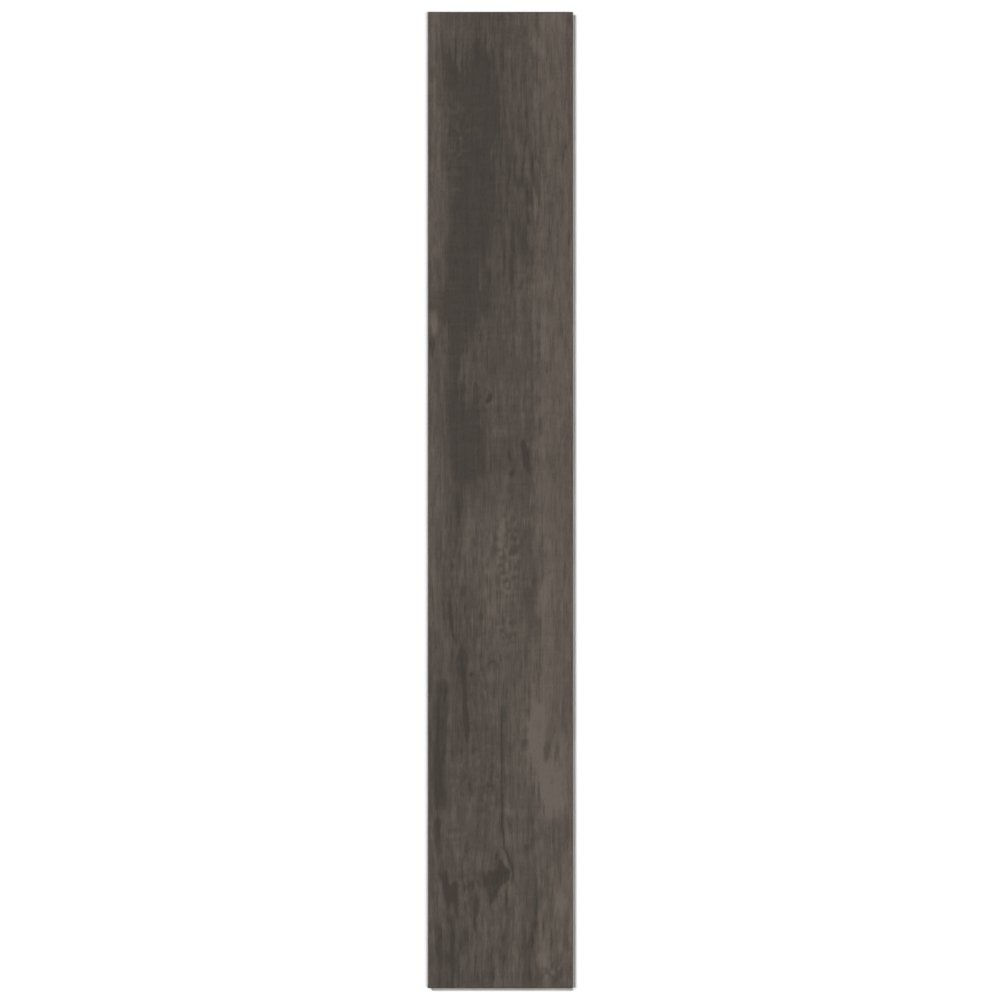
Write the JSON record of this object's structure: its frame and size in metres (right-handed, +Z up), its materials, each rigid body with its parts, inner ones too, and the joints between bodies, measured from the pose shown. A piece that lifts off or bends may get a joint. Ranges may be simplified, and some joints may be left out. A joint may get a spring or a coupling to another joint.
{
  "type": "rigid core vinyl plank",
  "caption": "Flat wood-look vinyl floor plank with a rigid core, a bevelled wear face, and click-lock tongue, lips, grooves and recesses round its edges.",
  "frame": {"origin": "on the underside, below the centre of the wear face", "axes": "+Z up out of the wear face, +Y along the length towards the end that drops in, +X across the width towards the edge with the lower lip"},
  "size_m": [0.187, 1.224, 0.005],
  "materials": {
    "vinyl_plank": "embossed dark grey-brown wood print under a matte wear layer, on a light grey core"
  },
  "bodies": {
    "root": {"plank": "vinyl_plank"}
  },
  "joints": []
}
